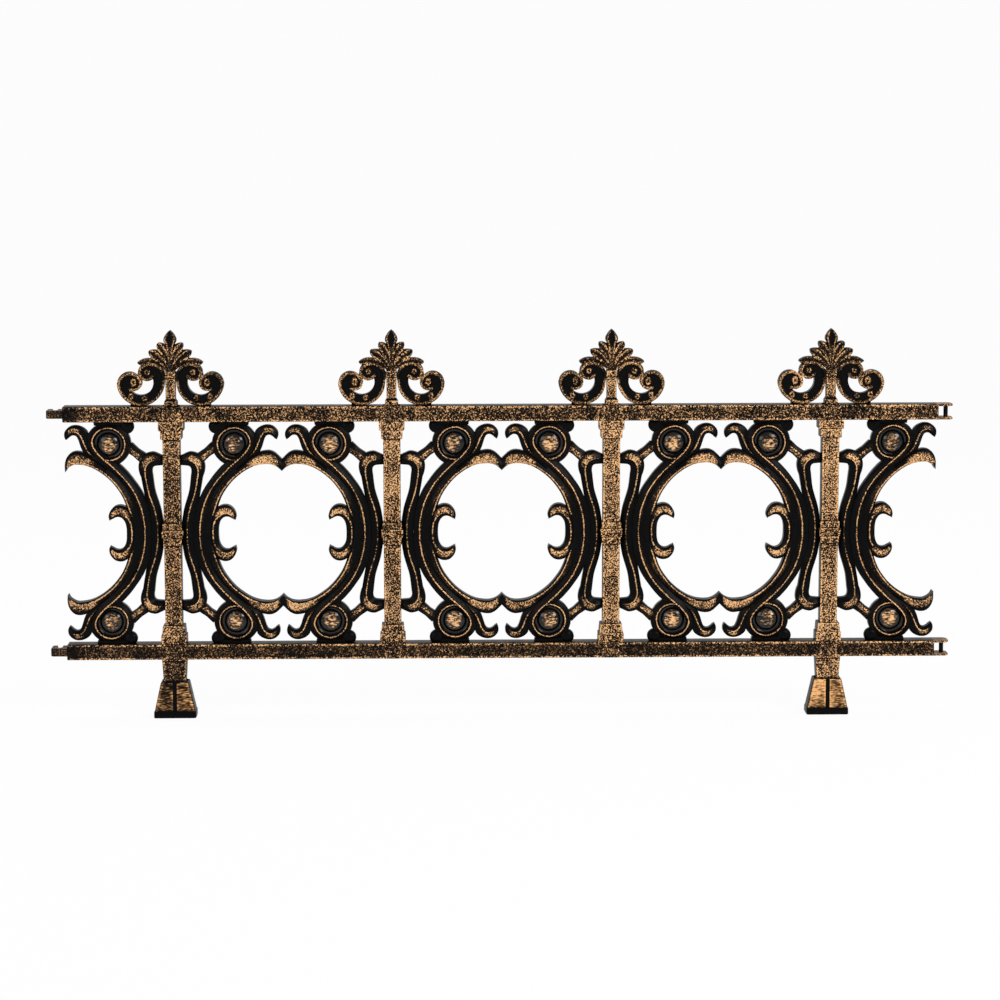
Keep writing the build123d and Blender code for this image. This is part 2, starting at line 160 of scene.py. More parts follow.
def closed_faces(rows, across):
    """The faces of such a net, with one face over its first row and one over its last."""
    end = np.arange(across)
    return [ring_faces(rows, across), end[::-1][None], (end + (rows - 1) * across)[None]]


def turned_over(faces):
    """The same faces with their other side out."""
    return [group[:, ::-1] for group in faces]


def add_band(shape, front, glow, over=False):
    """Joins rows of points on the front to the same rows on the back, y turned to -y."""
    loops = np.concatenate([front, front[:, ::-1] * (1, -1, 1)], 1)
    faces = closed_faces(*loops.shape[:2])
    shape.add(loops, turned_over(faces) if over else faces, np.concatenate([glow, glow[:, ::-1]], 1))


def arc(centre, radius, start, end, step=1.6):
    """Points of a circle between two angles in degrees; the radius may change evenly."""
    first, last = np.broadcast_to(radius, 2)
    count = max(4, int(abs(radians(end - start)) * max(first, last) / step) + 1)
    turn = np.radians(np.linspace(start, end, count))
    size = np.linspace(first, last, count)
    return np.stack([centre[0] + size * np.cos(turn), centre[1] + size * np.sin(turn)], 1)


def run_along(points):
    """Length of a line from its start to each of its points."""
    return np.concatenate([[0], np.cumsum(np.linalg.norm(np.diff(points, axis=0), axis=1))])


def even(points, step=1.4, count=None):
    """The same line with its points set evenly along its length."""
    points = np.asarray(points, float)
    run = run_along(points)
    count = count or max(4, int(run[-1] / step) + 1)
    at = np.linspace(0, run[-1], count)
    return np.stack([np.interp(at, run, points[:, k]) for k in range(2)], 1)


def curve(points, step=1.4, count=None):
    """A smooth line through points: cubic between each pair, its slope there the mean slope."""
    points = np.asarray(points, float)
    run = run_along(points)
    slope = np.gradient(points, run, axis=0)
    at = np.linspace(0, run[-1], 40 * len(points))
    k = np.clip(np.searchsorted(run, at) - 1, 0, len(points) - 2)
    width = run[k + 1] - run[k]
    t = ((at - run[k]) / width)[:, None]
    width = width[:, None]
    line = (
        (2 * t**3 - 3 * t**2 + 1) * points[k]
        + (t**3 - 2 * t**2 + t) * width * slope[k]
        + (3 * t**2 - 2 * t**3) * points[k + 1]
        + (t**3 - t**2) * width * slope[k + 1]
    )
    return even(line, step, count)


def along(line, values):
    """Values at each point of a line, from values at shares of its length, changing evenly."""
    if np.isscalar(values):
        return np.full(len(line), float(values))
    run = run_along(line)
    shares, sizes = zip(*values)
    return np.interp(run / run[-1], shares, sizes)


# Shares of a flank's width from the crest's edge, where a ridge's section has points
FLANK = np.array([0.0, 0.05, 0.11, 0.24, 0.42, 0.6, 0.76, 0.88, 0.97, 1.0])
CREST_HALF_WIDTH = 0.2
CREST_RISE = 0.1
GLOW_REACH = 0.3


def ridge(shape, line, left, right, crest, left_edge, right_edge=None, left_fall=1.5, right_fall=None,
          shine=1.0, left_body=0.0, right_body=0.0, body_end=0.86):
    """Carries a ridge along a line of the face, front and back alike.

    The section falls from the crest to each edge as (1 - share of the flank) to the power
    of that flank's fall, then goes straight back. Bronze is shine on the crest, times the
    bell of distance / GLOW_REACH beside it, and body over a flank up to the share body_end.
    Each size is one number, or pairs of a share of the line and a size.
    """
    line = np.asarray(line, float)
    if right_edge is None:
        right_edge = left_edge
    if right_fall is None:
        right_fall = left_fall
    crest = along(line, crest)[:, None]
    shine = along(line, shine)[:, None]
    run = np.gradient(line, axis=0)
    run /= np.linalg.norm(run, axis=1)[:, None]
    normal = np.stack([-run[:, 1], run[:, 0]], 1)
    offsets, depths, glows = [], [], []
    flanks = (
        (1.0, left, left_edge, left_fall, left_body),
        (-1.0, right, right_edge, right_fall, right_body),
    )
    for sign, width, edge, fall, body in flanks:
        width, edge, fall, body = (along(line, v)[:, None] for v in (width, edge, fall, body))
        narrow = np.minimum(CREST_HALF_WIDTH, 0.4 * width)
        away = (width - narrow) * FLANK
        depth = edge + (crest - edge) * (1 - FLANK) ** fall
        depth[:, -1] -= np.minimum(0.5, 0.3 * edge[:, 0])
        cover = np.clip((body_end - FLANK) / 0.3, 0, 1) * np.clip(FLANK / 0.08, 0, 1)
        offsets.append(sign * (narrow + away))
        depths.append(depth)
        glows.append(np.maximum(shine * bell(away / GLOW_REACH), body * cover))
    across = np.concatenate([offsets[0][:, ::-1], np.zeros((len(line), 1)), offsets[1]], 1)
    depth = np.concatenate([depths[0][:, ::-1], crest + CREST_RISE, depths[1]], 1)
    glow = np.concatenate([glows[0][:, ::-1], shine, glows[1]], 1)
    x = line[:, :1] + across * normal[:, :1]
    z = line[:, 1:] + across * normal[:, 1:]
    add_band(shape, np.stack([x, -depth, z], -1), np.clip(glow, 0, 1))


def leaf(shape, outer, inner, depth, bronze, count, across):
    """A surface between two edges of the face, front and back alike.

    A point at the shares s along and t across is (1 - t) of the outer edge and t of the
    inner edge. Depth and bronze are functions of s and t.
    """
    outer = curve(outer, count=count)
    inner = curve(inner, count=count)
    s = np.linspace(0, 1, count)[:, None]
    t = ((1 - np.cos(np.linspace(0, pi, across))) / 2)[None, :]
    x = outer[:, :1] * (1 - t) + inner[:, :1] * t
    z = outer[:, 1:] * (1 - t) + inner[:, 1:] * t
    y = -depth(s, t) + np.zeros_like(x)
    front = np.stack([x, y, z], -1)
    over_to = front[0, -1] - front[0, 0]
    ahead = front[1, 0] - front[0, 0]
    add_band(shape, front, np.clip(bronze(s, t) + np.zeros_like(x), 0, 1),
             over=over_to[0] * ahead[2] < over_to[2] * ahead[0])


def turned(shape, centre, profile, count=64, bronze=None, finish=0):
    """A round relief about a point of the face, front and back alike.

    The profile is (radius, half depth) from the middle to the rim.
    """
    profile = np.asarray(profile, float)
    turn = np.linspace(0, 2 * pi, count, endpoint=False)
    radius, depth = profile[1:, 0][:, None], profile[1:, 1][:, None]
    x = centre[0] + radius * np.cos(turn)
    z = centre[1] + radius * np.sin(turn)
    front = np.stack([x, -depth + 0 * x, z], -1)
    loops = np.concatenate([front, front[::-1] * (1, -1, 1)])
    rows = len(loops)
    tip = profile[0, 1]
    points = np.concatenate([
        loops.reshape(-1, 3), [(centre[0], -tip, centre[1]), (centre[0], tip, centre[1])],
    ])
    first, last = np.arange(count), np.arange(count) + (rows - 1) * count
    faces = [
        ring_faces(rows, count),
        np.stack([np.roll(first, -1), first, np.full(count, rows * count)], 1),
        np.stack([last, np.roll(last, -1), np.full(count, rows * count + 1)], 1),
    ]
    glow = 0.0
    if bronze is not None:
        flat = points[:, [0, 2]] - np.asarray(centre)
        glow = bronze(np.hypot(flat[:, 0], flat[:, 1]), flat[:, 0], flat[:, 1])
    shape.add(points, turned_over(faces), np.clip(glow, 0, 1), finish)


# How far in from a box's side its bright line reaches, and where the line has faded out
EDGE_LINE = 0.6
EDGE_FADE = 1.2


def rounded_box(half_x, half_y, corner, splits):
    """Outline of a rectangle with round corners, counter-clockwise.

    Its front and back have more points beside the corners, and at the splits.
    """
    turn = np.linspace(0, pi / 2, 4)
    flat = half_x - corner
    inner = np.array([flat - EDGE_LINE, flat - EDGE_FADE, *splits, EDGE_FADE - flat, EDGE_LINE - flat])
    parts = []
    for k, (sx, sy) in enumerate(((1, 1), (-1, 1), (-1, -1), (1, -1))):
        angle = turn + k * pi / 2
        parts.append(np.stack([
            sx * (half_x - corner) + corner * np.cos(angle),
            sy * (half_y - corner) + corner * np.sin(angle),
        ], 1))
        if k == 0:
            parts.append(np.stack([inner, np.full(len(inner), half_y)], 1))
        elif k == 2:
            parts.append(np.stack([-inner, np.full(len(inner), -half_y)], 1))
    return np.concatenate(parts)


def stack(shape, levels, corner=0.7, faces_bronze=0.6, sides_bronze=0.1, edge_bronze=0.9, axis="z",
          splits=(), detail=None):
    """Rounded rectangles set one over another and joined.

    Each level is (height, half width, half depth, bronze factor). The front and back have
    faces_bronze, with edge_bronze along their edges, and the sides have sides_bronze, each
    times the level's factor. detail may change the points (level, around, 3) and their bronze.
    """
    rows, glows = [], []
    for height, half_x, half_y, factor in levels:
        outline = rounded_box(half_x, half_y, corner, splits)
        rows.append(np.column_stack([outline, np.full(len(outline), height)]))
        on_face = np.abs(outline[:, 1]) > half_y - 0.45 * corner
        on_edge = np.abs(outline[:, 0]) > half_x - corner - EDGE_LINE - 0.01
        face_bronze = np.where(on_edge, edge_bronze, faces_bronze)
        glows.append(np.where(on_face, face_bronze, sides_bronze) * factor)
    loops = np.array(rows)
    glow = np.clip(np.array(glows), 0, 1)
    if detail is not None:
        loops, glow = detail(loops, glow)
    if axis == "x":
        loops = loops[:, :, [2, 1, 0]] * (1, 1, -1)
    shape.add(loops, closed_faces(*loops.shape[:2]), glow)


def plate(shape, outline, low, high, bevel=0.5, bronze=0.1, plane="face"):
    """A flat outline given a thickness, with narrow bevels.

    plane is face for an outline in x and z that is pushed along y, or plan for one in
    x and y that is pushed along z. At each end the outline's points move in by the bevel,
    along the mean of the two sides' inward normals.
    """
    outline = np.asarray(outline, float)
    x, y = outline.T
    if np.sum(x * np.roll(y, -1) - y * np.roll(x, -1)) < 0:
        outline = outline[::-1]
    ahead = np.roll(outline, -1, 0) - outline
    ahead /= np.linalg.norm(ahead, axis=1)[:, None]
    before = np.roll(ahead, 1, 0)
    inward = np.stack([-(ahead + before)[:, 1], (ahead + before)[:, 0]], 1)
    inward /= np.maximum(np.linalg.norm(inward, axis=1), 1e-6)[:, None]
    small = outline + bevel * inward
    rows = [(small, low), (outline, low + bevel), (outline, high - bevel), (small, high)]
    loops = np.array([np.column_stack([o, np.full(len(o), h)]) for o, h in rows])
    faces = closed_faces(*loops.shape[:2])
    if plane == "face":
        loops = loops[:, :, [0, 2, 1]]
        faces = turned_over(faces)
    shape.add(loops, faces, bronze)


def distance(points, line, closed=False):
    """Distance from each point to a line, and how far along the line the nearest place is.

    On a side of the line that place is at the share (point - start) . side / side squared,
    kept between 0 and 1.
    """
    a = line
    b = np.roll(line, -1, 0)
    if not closed:
        a, b = a[:-1], b[:-1]
    run = b - a
    length = np.linalg.norm(run, axis=1)
    start = np.concatenate([[0], np.cumsum(length)[:-1]])
    t = np.einsum("psk,sk->ps", points[:, None] - a[None], run) / np.maximum(length**2, 1e-9)
    t = np.clip(t, 0, 1)
    near = a[None] + t[..., None] * run[None]
    far = np.linalg.norm(points[:, None] - near, axis=2)
    best = far.argmin(1)
    pick = np.arange(len(points)), best
    return far[pick], (start[best] + t[pick] * length[best]) / length.sum()


def inside(points, outline):
    """Whether each point is inside a closed outline: a ray from it crosses an odd count of sides."""
    a = outline
    b = np.roll(outline, -1, 0)
    x, z = points[:, :1], points[:, 1:]
    straddle = (a[None, :, 1] > z) != (b[None, :, 1] > z)
    rise = np.where(np.abs(b[:, 1] - a[:, 1]) < 1e-9, 1e-9, b[:, 1] - a[:, 1])
    cross = a[None, :, 0] + (z - a[None, :, 1]) / rise * (b[:, 0] - a[:, 0])
    return (straddle & (x < cross)).sum(1) % 2 == 1


def relief(shape, edge, low, high, depth, bronze, step=0.55):
    """Fills a form of the face with a fine net, front and back alike.

    edge gives the distance from points to the form's border, below zero inside. The net's
    squares with all corners inside are kept, and its own border moves onto the form's: a
    point goes back along the slope of edge by edge over the slope's size, three times.
    depth and bronze are functions of the points.
    """
    xs = np.arange(low[0], high[0] + step, step)
    zs = np.arange(low[1], high[1] + step, step)
    grid = np.stack(np.meshgrid(xs, zs, indexing="ij"), -1)
    nx, nz = grid.shape[:2]
    far = edge(grid.reshape(-1, 2)).reshape(nx, nz)
    fits = far < 0.45 * step
    keep = fits[:-1, :-1] & fits[1:, :-1] & fits[1:, 1:] & fits[:-1, 1:]
    index = np.arange(nx * nz).reshape(nx, nz)
    quads = np.stack([index[:-1, :-1], index[1:, :-1], index[1:, 1:], index[:-1, 1:]], -1)[keep]
    padded = np.pad(keep, 1)
    sides = (
        (~padded[1:-1, :-2], 0, 1), (~padded[2:, 1:-1], 1, 2),
        (~padded[1:-1, 2:], 2, 3), (~padded[:-2, 1:-1], 3, 0),
    )
    borders = np.concatenate([quads[open_side[keep]][:, [p, q]] for open_side, p, q in sides])
    points = grid.reshape(-1, 2).copy()
    rim = np.unique(borders)
    for _ in range(3):
        here = points[rim]
        off = edge(here)
        slope = np.stack([
            edge(here + (0.05, 0)) - edge(here - (0.05, 0)),
            edge(here + (0, 0.05)) - edge(here - (0, 0.05)),
        ], 1) / 0.1
        size = np.maximum((slope**2).sum(1), 0.25)
        points[rim] = here - (off / size)[:, None] * slope
    used, quads_new = np.unique(quads, return_inverse=True)
    quads_new = quads_new.reshape(quads.shape)
    renumber = np.zeros(nx * nz, int)
    renumber[used] = np.arange(len(used))
    borders = renumber[borders]
    points = points[used]
    y = depth(points)
    front = np.stack([points[:, 0], -y, points[:, 1]], 1)
    back = front * (1, -1, 1)
    n = len(used)
    glow = np.clip(bronze(points) + np.zeros(n), 0, 1)
    walls = np.stack([borders[:, 1], borders[:, 0], borders[:, 0] + n, borders[:, 1] + n], 1)
    shape.add(
        np.concatenate([front, back]),
        [quads_new, quads_new[:, ::-1] + n, walls],
        np.concatenate([glow, glow]),
    )


# Finishes
class Value:
    """A number that changes over the surface, worked out with Python's own operators."""

    def __init__(self, finish, socket):
        self.finish = finish
        self.socket = socket

    def math(self, operation, *others, swap=False, clamp=False):
        """This value and another through a Math node; swap puts this one last."""
        terms = [self, *others]
        if swap:
            terms = terms[::-1]
        settings = {"operation": operation, "use_clamp": clamp}
        return self.finish.node("ShaderNodeMath", settings, dict(enumerate(terms)))

    def __add__(self, other):
        return self.math("ADD", other)

    __radd__ = __add__

    def __sub__(self, other):
        return self.math("SUBTRACT", other)

    def __rsub__(self, other):
        return self.math("SUBTRACT", other, swap=True)

    def __mul__(self, other):
        return self.math("MULTIPLY", other)

    __rmul__ = __mul__

    def __pow__(self, other):
        return self.math("POWER", other)

    def clamped(self):
        return self.math("ADD", 0.0, clamp=True)


class Finish:
    """A material with its shader, and one method that adds any other node."""

    def __init__(self, name):
        self.material = bpy.data.materials.new(name)
        self.material.use_nodes = True
        self.tree = self.material.node_tree
        self.shader = self.tree.nodes["Principled BSDF"]

    def node(self, kind, settings=None, inputs=None, output=0):
        """Adds a node: its settings first, then the values or links of its sockets."""
        made = self.tree.nodes.new(kind)
        for key, value in (settings or {}).items():
            setattr(made, key, value)
        for key, value in (inputs or {}).items():
            if isinstance(value, Value):
                self.tree.links.new(value.socket, made.inputs[key])
            else:
                made.inputs[key].default_value = value
        return Value(self, made.outputs[output])

    def noise(self, place, scale, detail, roughness):
        inputs = {"Vector": place, "Scale": scale, "Detail": detail, "Roughness": roughness}
        return self.node("ShaderNodeTexNoise", None, inputs)

    def mix(self, share, first, second):
        """A colour between two colours."""
        return self.node("ShaderNodeMix", {"data_type": "RGBA"}, {0: share, 6: first, 7: second}, output=2)

    def feed(self, **sockets):
        """Links values to the shader, or sets what is the same all over on its own socket."""
        for key, value in sockets.items():
            socket = self.shader.inputs[key.replace("_", " ")]
            if isinstance(value, Value):
                self.tree.links.new(value.socket, socket)
            else:
                socket.default_value = value


# Linear colours
BLACK = (0.0024, 0.0024, 0.0026, 1)
BRONZE_DEEP = (0.34, 0.155, 0.058, 1)
BRONZE_BRIGHT = (0.97, 0.56, 0.265, 1)


def bronzed_plastic(name, stroke=None, grain=940.0, contrast=6.2, roughness=0.36, reflection=0.055,
                    bright=BRONZE_BRIGHT):
    """Black plastic with bronze brushed over its raised grain.

    The piece's own bronze values say how bright the coat is. The grain is added to them,
    and the sum to the power 2.2 is the share of bronze. stroke stretches the grain into
    brush marks along an axis.
    """
    finish = Finish(name)
    place = finish.node("ShaderNodeTexCoord", output="Object")
    cover = finish.node("ShaderNodeAttribute", {"attribute_name": "bronze"}, output="Fac")
    grain_place = place
    if stroke:
        grain_place = finish.node("ShaderNodeVectorMath", {"operation": "MULTIPLY"}, {0: place, 1: stroke})
    fine = finish.noise(grain_place, grain, 2.0, 0.55)
    patchy = finish.noise(place, 170.0, 2.0, 0.5)
    broad = finish.noise(place, 42.0, 1.0, 0.5)
    speckle = (fine - 0.5) * contrast + (patchy - 0.5) * 0.7 + (broad - 0.5) * 1.1
    tone = (cover + speckle * (cover * 3.2).clamped()).clamped()
    share = tone**2.2
    bronze = finish.mix(tone, BRONZE_DEEP, bright)
    dents = {"Strength": 0.16, "Distance": 0.0003, "Height": fine + patchy * 0.5}
    finish.feed(
        Base_Color=finish.mix(share, BLACK, bronze),
        Metallic=tone * 0.3,
        Roughness=roughness + (tone * 2.0).clamped() * 0.16 + (patchy - 0.5) * 0.2,
        Specular_IOR_Level=reflection,
        Normal=finish.node("ShaderNodeBump", None, dents),
    )
    return finish.material


speckled = bronzed_plastic("speckled_bronze_on_black")
scrollwork = bronzed_plastic("scrollwork_bronze_on_black", grain=860.0, contrast=4.2)
domed = bronzed_plastic("bronze_dabbed_on_gloss", stroke=(0.5, 1.0, 1.1), grain=640.0, contrast=3.8,
                        roughness=0.12, reflection=0.35)
brushed = bronzed_plastic("brushed_bronze_on_black", stroke=(0.3, 1.0, 1.5), grain=800.0, contrast=2.7,
                          bright=(0.97, 0.52, 0.21, 1))


# Scroll infill: x from the post's middle, z from mid-height
ROUNDEL = (54.9, 78.9)
BOSS_RADIUS = 10.4
RIM_START = 15.5


def leaf_section(crest_share, edge, crest, rim, fall, body_start, body_end, flank_body):
    """Depth and bronze over a leaf, as functions of the shares along it and across it.

    From the first edge the surface rises evenly to a crest, then rolls over to the second
    edge as 1 - share to the power fall. Bronze lies in a narrow bell on the crest, on the
    body past it, and as flank_body before it.
    """
    def depth(s, t):
        at = np.interp(s, *zip(*crest_share))
        up = np.clip(t / at, 0, 1)
        over = np.clip((t - at) / (1 - at), 0, 1)
        return np.where(t < at, edge + (crest - edge) * up, crest - (crest - rim) * over**fall)

    def bronze(s, t):
        at = np.interp(s, *zip(*crest_share))
        over = (t - at) / (1 - at)
        line = 0.95 * bell((t - at) / 0.05) * np.clip((body_end - s) / 0.08, 0, 1)
        reach = np.clip((s - body_start) / 0.16, 0, 1) * np.clip((body_end - s) / 0.1, 0, 1)
        body = np.clip((0.78 - over) / 0.35, 0, 1) * (over > 0) * reach * 0.68
        return np.maximum(line, np.maximum(body, (over < 0) * flank_body * reach))

    return depth, bronze


def scroll_quarter(flank_body, free_end):
    """The upper half of the infill to the right of a post, from mid-height to the rail.

    flank_body is the bronze on the leaf's flank towards the circle. A free end is one at
    the panel's end, where the leaf meets no other and curls to a point.
    """
    shape = Shape()

    # The inner bead of the big circle, up to the leaf
    bead = curve([
        (32.0, -1.5), (32.0, 0), (32.2, 5), (33.2, 10), (35.0, 15), (36.8, 20), (38.6, 25.5),
        (40.4, 30.3), (43.6, 36.6), (47.2, 41.8), (50.6, 46), (54.9, 50.3), (60, 54.4), (65, 57.6),
        (70, 60.1), (75, 61.9),
    ], step=1.2)
    ridge(shape, bead,
          left=((0, 4.9), (0.15, 6.4), (0.4, 6.6), (0.55, 5.0), (0.7, 4.8), (0.85, 5.6), (1, 4.0)),
          right=((0, 3.5), (0.22, 2.1), (1, 1.5)),
          crest=((0, 5.4), (0.16, 5.6), (0.26, 6.9), (1, 6.9)), left_edge=3.9, right_edge=4.6, left_fall=1.3,
          right_fall=1.0, shine=((0, 0), (0.2, 0), (0.26, 0.9), (0.5, 1.0), (1, 0.95)),
          left_body=((0, 0), (0.25, 0.02), (0.4, 0.16), (0.6, 0.14), (0.78, 0.1), (1, 0.5)), body_end=0.75)

    # The outer crest, its straight run and the ring that it winds into
    run = curve([
        (24.1, -1.5), (24.1, 0), (24.1, 5), (24.6, 10), (25.4, 15), (26.4, 20), (27.9, 25), (29.8, 30),
        (32.1, 35), (34.9, 40), (38.4, 45), (42.5, 50), (47, 54.7), (52, 59.6), (57, 64), (61.2, 67.7),
        (64.6, 71.4), (67.4, 75.4), (68.8, 79), (68.9, 82.4), (67.5, 86.1), (64.8, 89.7), (60.5, 92.3),
        (55, 93.4), (49.6, 92.2), (45, 89.2), (41.8, 85), (40.5, 80.2), (40.8, 75.6), (42.6, 71.3),
        (46, 67.6), (50.2, 65.6), (54.6, 64.9), (57.6, 65.4),
    ], step=1.2)
    ridge(shape, run,
          left=((0, 5.6), (0.22, 5.9), (0.28, 5.4), (0.38, 5.8), (0.43, 5.0),
                (0.5, 2.9), (0.56, 2.3), (1, 2.3)),
          right=((0, 3.9), (0.25, 4.0), (0.36, 4.6), (0.43, 6.4), (0.51, 8.0),
                 (0.58, 6.2), (0.66, 5.0), (1, 5.0)),
          crest=((0, 6.8), (0.6, 6.9), (1, 6.7)),
          left_edge=((0, 3.9), (0.2, 4.2), (0.42, 4.2), (0.56, 3.9), (1, 3.9)),
          right_edge=((0, 3.9), (0.4, 3.9), (0.58, 3.5), (1, 3.5)), left_fall=1.45,
          shine=((0, 0.8), (0.3, 0.95), (0.6, 1.0), (0.96, 0.9), (1, 0.3)),
          right_body=((0, 0.05), (0.1, 0.1), (0.3, 0.08), (1, 0.05)))

    # Roundel: domed boss, sunk channel and the rim round the ring
    profile = [(0, 7.2), (2, 7.12), (4, 6.85), (6, 6.3), (7.8, 5.5), (9.2, 4.5), (10.1, 3.6), (10.5, 2.9),
               (11.4, 2.7), (12.2, 3.0), (12.8, 3.6), (16.5, 3.6), (18.6, 3.4), (19.4, 3.0), (19.7, 2.2)]

    def boss_bronze(radius, x, z):
        """A dab on the boss, a bell of the squared distance from its middle, and a worn rim."""
        patch = bell(((x + 0.9) / 6.2) ** 2 + ((z + 0.3) / 7.2) ** 2)
        return np.where(radius < BOSS_RADIUS, 0.68 * patch, 0.03 + 0.1 * (radius > RIM_START))

    turned(shape, ROUNDEL, profile, bronze=boss_bronze, finish=1)

    # Lug and pad between the roundel and the rail
    turned(shape, (38.9, 94.2), [(0, 5.2), (2, 5.1), (4, 4.5), (5.4, 3.6), (6.1, 2.6), (6.4, 1.6)], count=40)
    plate(shape, [(38.4, 95.4), (67.4, 95.4), (67.9, 98.7), (38.4, 98.7)], -4.3, 4.3, bevel=0.4, bronze=0.02)

    # Bottle-shaped scroll beside the post, hooked back to it
    bottle = curve([
        (12.8, -1.5), (12.8, 0), (12.9, 5), (13.3, 10), (14.1, 15), (15.1, 20), (16.6, 25), (18.3, 30),
        (19.9, 35), (21.1, 40), (22, 45), (22.8, 50), (23.2, 55), (22.6, 58.8), (20.9, 61.8),
        (18.7, 63.7), (16, 64.8), (13, 65.1), (9, 65.2), (7, 65.2),
    ], step=1.2)
    ridge(shape, bottle,
          left=((0, 4.9), (0.3, 5.2), (0.5, 5.6), (0.66, 6.3), (0.78, 6.0), (0.9, 5.4), (1, 5.0)),
          right=((0, 5.6), (0.38, 5.7), (0.46, 4.6), (0.52, 4.2), (0.66, 4.2),
                 (0.75, 6.3), (0.83, 8.2), (0.9, 7.2), (0.96, 4.6), (1, 3.0)),
          crest=((0, 6.5), (0.3, 6.8), (0.9, 6.9), (1, 4.2)), left_edge=3.4, left_fall=1.2,
          right_fall=((0, 1.3), (0.7, 1.1), (0.84, 0.6), (1, 0.8)),
          shine=((0, 0.35), (0.2, 0.55), (0.4, 0.9), (0.88, 0.95), (0.93, 0.4), (0.96, 0)),
          right_body=((0, 0), (0.73, 0), (0.8, 0.6), (0.88, 0.7), (0.93, 0.1), (1, 0)), body_end=0.72)

    # Strut from the hook to the roundel: bronze paint on its flanks, and the bronze line on its crest partly a
    # painted highlight along the ridge
    ridge(shape, even([(24.4, 66.3), (37.5, 76.6)], count=14), left=((0, 4.6), (0.5, 3.9), (1, 4.8)),
          right=((0, 5.0), (0.5, 4.2), (1, 5.0)), crest=((0, 4.6), (0.3, 5.4), (0.7, 5.2), (1, 3.8)),
          left_edge=3.4, left_fall=1.0, shine=((0, 0.2), (0.3, 0.75), (0.7, 0.5), (1, 0)),
          right_body=((0, 0.2), (0.3, 0.4), (0.7, 0.35), (1, 0)),
          left_body=((0, 0), (0.3, 0.12), (0.8, 0.1), (1, 0)))

    # Hooked leaf beyond the roundel
    hook = curve([
        (63, 63), (67.3, 67), (70, 69.7), (73, 73.2), (75, 77), (76.8, 81.5), (78.5, 85.5), (80.3, 88.2),
        (83, 89.8), (86, 90), (88.7, 88.9), (90.7, 86.7), (91.8, 84.3), (92.2, 83),
    ], step=0.9)
    ridge(shape, hook,
          left=((0, 1.0), (0.25, 1.6), (0.4, 3.4), (0.52, 5.2), (0.62, 6.8),
                (0.7, 5.9), (0.8, 5.2), (0.9, 3.8), (0.96, 2.0), (1, 0.3)),
          right=((0, 3.0), (0.25, 4.6), (0.4, 4.3), (0.55, 3.8), (0.75, 3.5),
                 (0.88, 2.9), (0.96, 1.8), (1, 0.5)),
          crest=((0, 4.6), (0.2, 5.9), (0.8, 6.2), (0.95, 5.2), (1, 4.2)), left_edge=3.4,
          left_fall=0.75, right_fall=1.2,
          shine=((0, 0), (0.2, 0.2), (0.4, 0.85), (0.78, 0.9), (0.88, 0.2), (0.92, 0), (1, 0)),
          left_body=((0, 0), (0.66, 0), (0.74, 0.55), (0.8, 0.6), (0.88, 0), (1, 0)), body_end=0.7)

    # Leaf end in the middle of the bay
    circle_side = [(60, 52.4), (65, 56.0), (70, 58.5), (75, 60.2), (80, 61.0), (85, 61.1)]
    rail_side = [(56, 57), (62, 62), (67, 65.8), (72, 69.2), (77, 71.6), (82, 72.8)]
    if free_end:
        circle_side += [(88.4, 59.6), (91.2, 57.4), (93.0, 54.6)]
        rail_side += [(86.4, 72.2), (90.2, 69.4), (92.8, 64.6), (93.6, 59.0), (93.3, 54.8)]
    else:
        circle_side += [(89, 60.3), (92.5, 58.5), (96.5, 54.9)]
        rail_side += [(86, 72.8), (90, 71.2), (93.5, 68.2), (96.5, 65.2)]
    leaf(shape, circle_side, rail_side,
         *leaf_section(((0, 0.32), (0.35, 0.2), (0.7, 0.17), (1, 0.05)), edge=5.2, crest=7.0, rim=3.6,
                       fall=2.2, body_start=0.2, body_end=0.93, flank_body=flank_body),
         count=48, across=23)

    # Small C-scroll inside the circle
    leaf(shape,
         [(40.3, -1.5), (40.3, 0), (40.5, 5), (41.2, 8.6), (42.8, 11.8), (45, 13.9), (47.7, 14.6),
          (50.4, 14.0), (52.4, 12.9), (53.8, 12.2), (54.5, 11.8), (54.9, 11.6), (55.1, 11.5)],
         [(33.2, -1.5), (33.2, 0), (33.4, 6), (34.2, 12), (35.6, 17), (38.2, 21.2), (41.8, 24.0), (46, 25.0),
          (50.2, 24.1), (53.4, 21.4), (55.5, 17.6), (56.0, 14.4), (55.3, 11.7)],
         *leaf_section(((0, 0.68), (0.2, 0.66), (0.5, 0.36), (0.8, 0.3), (1, 0.3)), edge=4.0, crest=6.4,
                       rim=4.4, fall=2.0, body_start=0.34, body_end=0.92, flank_body=0.04),
         count=56, across=25)
    return shape


def scroll_half(free_end):
    """The infill on the right of a post: its upper half, and the same turned down."""
    whole = Shape()
    whole.join(scroll_quarter(0.85, free_end))
    whole.join(scroll_quarter(0.03, free_end).mirrored(2))
    return whole


scroll = scroll_half(False)
end_scroll = scroll_half(True)
for number, x in enumerate(POST_PLACES, start=1):
    left_scroll = (end_scroll if number == 1 else scroll).mirrored(0)
    right_scroll = end_scroll if number == 4 else scroll
    for side, shape in (("left", left_scroll), ("right", right_scroll)):
        shape.piece(f"scrollwork_{number}_{side}", (x, 0, MID_Z), [scrollwork, domed],
                    [f"scroll_{number}_{side}"], "black_plastic")


# Posts
POST_HALF_WIDTH = 7.5
POST_HALF_DEPTH = 7.2
DEPTH_LIMIT = 8.9  # just behind the rails' faces
# Bronze factor of each post, left to right: larger towards the right, as painted light falling from the right
POST_LIGHT_FACTORS = (0.76, 0.86, 1.12, 1.03)


